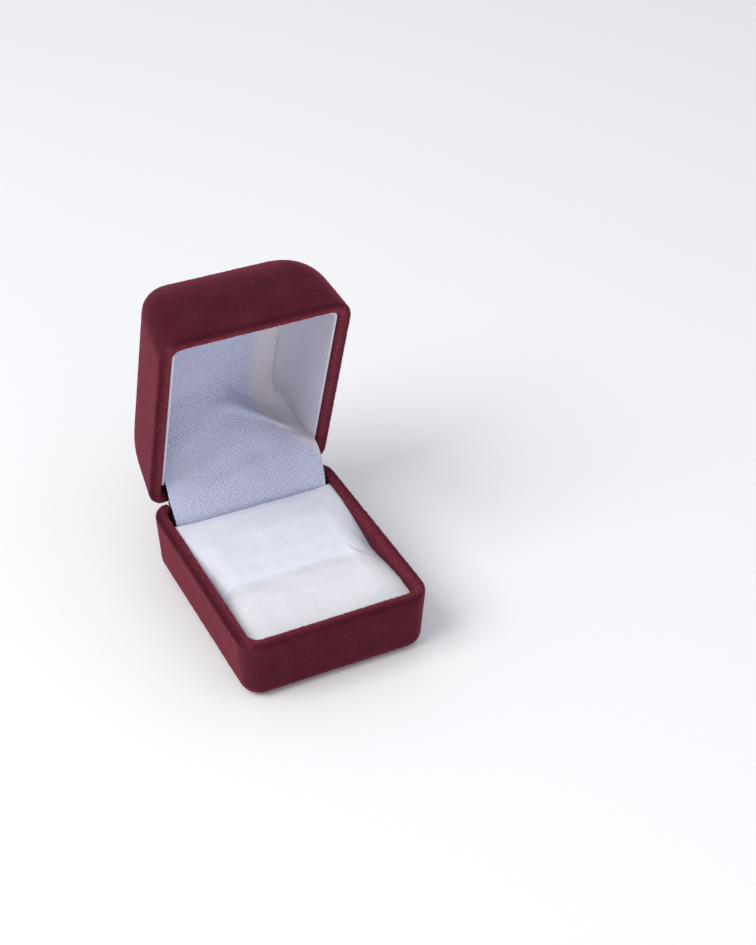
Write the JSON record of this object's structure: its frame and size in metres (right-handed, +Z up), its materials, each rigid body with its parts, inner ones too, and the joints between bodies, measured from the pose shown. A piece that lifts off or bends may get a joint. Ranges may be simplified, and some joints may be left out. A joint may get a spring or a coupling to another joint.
{
  "type": "ring box",
  "caption": "Flocked ring box with a domed pyramid lid on a sprung rear hinge, slotted velour ring pad, card-lined lid and a satin sheet over the hinge.",
  "frame": {"origin": "centre of the base's flat underside", "axes": "+X to the box's right, +Y to its back where the hinge is, +Z up; the lid stands open at its stop"},
  "size_m": [0.0478, 0.0874, 0.0755],
  "materials": {
    "burgundy_flock": "short flocked pile on moulded plastic, matt with a soft sheen at grazing angles",
    "white_velour": "white short-pile velour",
    "white_satin": "woven satin with a fine twill line and a bright sheen",
    "white_card": "smooth white card",
    "foam": "open-cell foam inside the pad",
    "black_steel": "blackened sheet steel",
    "spring_steel": "blued spring steel"
  },
  "bodies": {
    "base": {"base_shell": "burgundy_flock", "pad_board": "white_card", "pad_foam_back": "foam", "pad_foam_front": "foam", "pad_cover_back": "white_velour", "pad_cover_front": "white_velour", "hinge_base_leaf": "black_steel", "hinge_pin_left": "black_steel", "hinge_pin_right": "black_steel", "snap_spring_left": "spring_steel", "snap_spring_right": "spring_steel"},
    "lid": {"lid_shell": "burgundy_flock", "lid_wall_liner": "white_card", "lid_ceiling_board": "white_card", "hinge_lid_leaf": "black_steel", "satin_lining": "white_satin"}
  },
  "joints": [
    {"name": "lid_hinge", "type": "hinge", "parent": "base", "child": "lid", "pos_m": [0, 0.0292, 0.01602], "axis": [1, 0, 0], "range_deg": [0, 72.5], "deforming": ["satin_lining"]}
  ]
}
